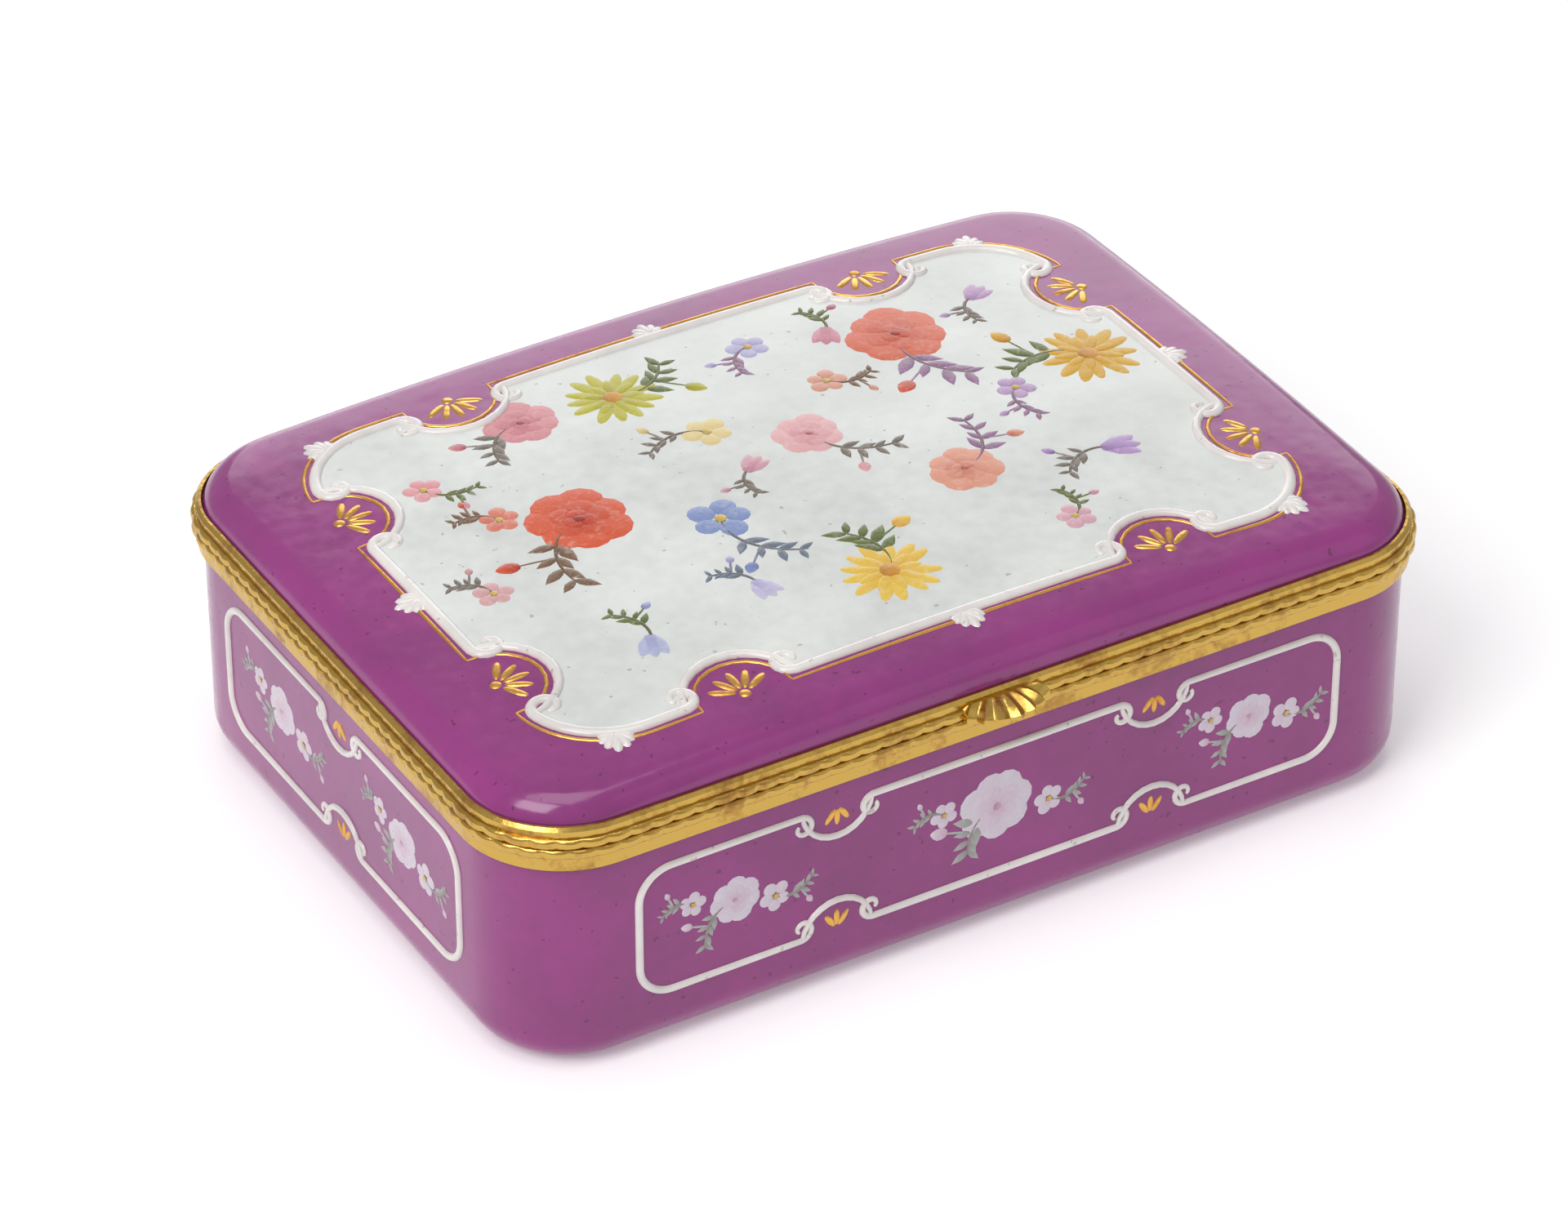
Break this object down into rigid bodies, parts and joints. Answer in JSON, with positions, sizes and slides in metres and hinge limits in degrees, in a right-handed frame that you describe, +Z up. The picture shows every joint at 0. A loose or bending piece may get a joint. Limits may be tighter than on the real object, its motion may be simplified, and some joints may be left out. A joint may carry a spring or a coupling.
{
  "type": "snuff box",
  "caption": "Rectangular enamelled copper snuff box with a hinged cushion lid, gilt channel mounts, a purple ground, white scroll reserves and scattered flower sprays",
  "frame": {"origin": "middle of the flat base, on the surface it rests on", "axes": "+X along the box to its right end, +Y to the hinged back, -Y to the front with the thumbpiece, +Z up"},
  "size_m": [0.08, 0.0606, 0.0249],
  "materials": {
    "purple_enamel": "glossy fired enamel",
    "white_enamel": "glossy fired enamel",
    "raised_enamel": "glossy raised enamel",
    "copper": "plain sheet",
    "gilt": "worn mercury gilding",
    "pin_metal": "drawn wire",
    "cement": "matte plaster cement"
  },
  "bodies": {
    "base": {"body_enamel": "purple_enamel", "body_copper": "copper", "body_counter_enamel": "white_enamel", "body_bedding": "cement", "body_mount": "gilt", "closing_flange": "gilt", "base_knuckle_1": "gilt", "base_knuckle_2": "gilt", "base_knuckle_3": "gilt", "hinge_pin": "pin_metal", "pin_cap_left": "gilt", "pin_cap_right": "gilt", "front_wall_scroll": "raised_enamel", "back_wall_scroll": "raised_enamel", "left_wall_scroll": "raised_enamel", "right_wall_scroll": "raised_enamel"},
    "lid": {"lid_enamel": "purple_enamel", "lid_copper": "copper", "lid_counter_enamel": "white_enamel", "lid_bedding": "cement", "lid_mount": "gilt", "lid_knuckle_1": "gilt", "lid_knuckle_2": "gilt", "thumbpiece": "gilt", "lid_reserve": "white_enamel", "lid_scroll_frame": "raised_enamel"}
  },
  "joints": [
    {"name": "lid_hinge", "type": "hinge", "parent": "base", "child": "lid", "pos_m": [0, 0.0291, 0.02003], "axis": [-1, 0, 0], "range_deg": [0, 100]}
  ]
}
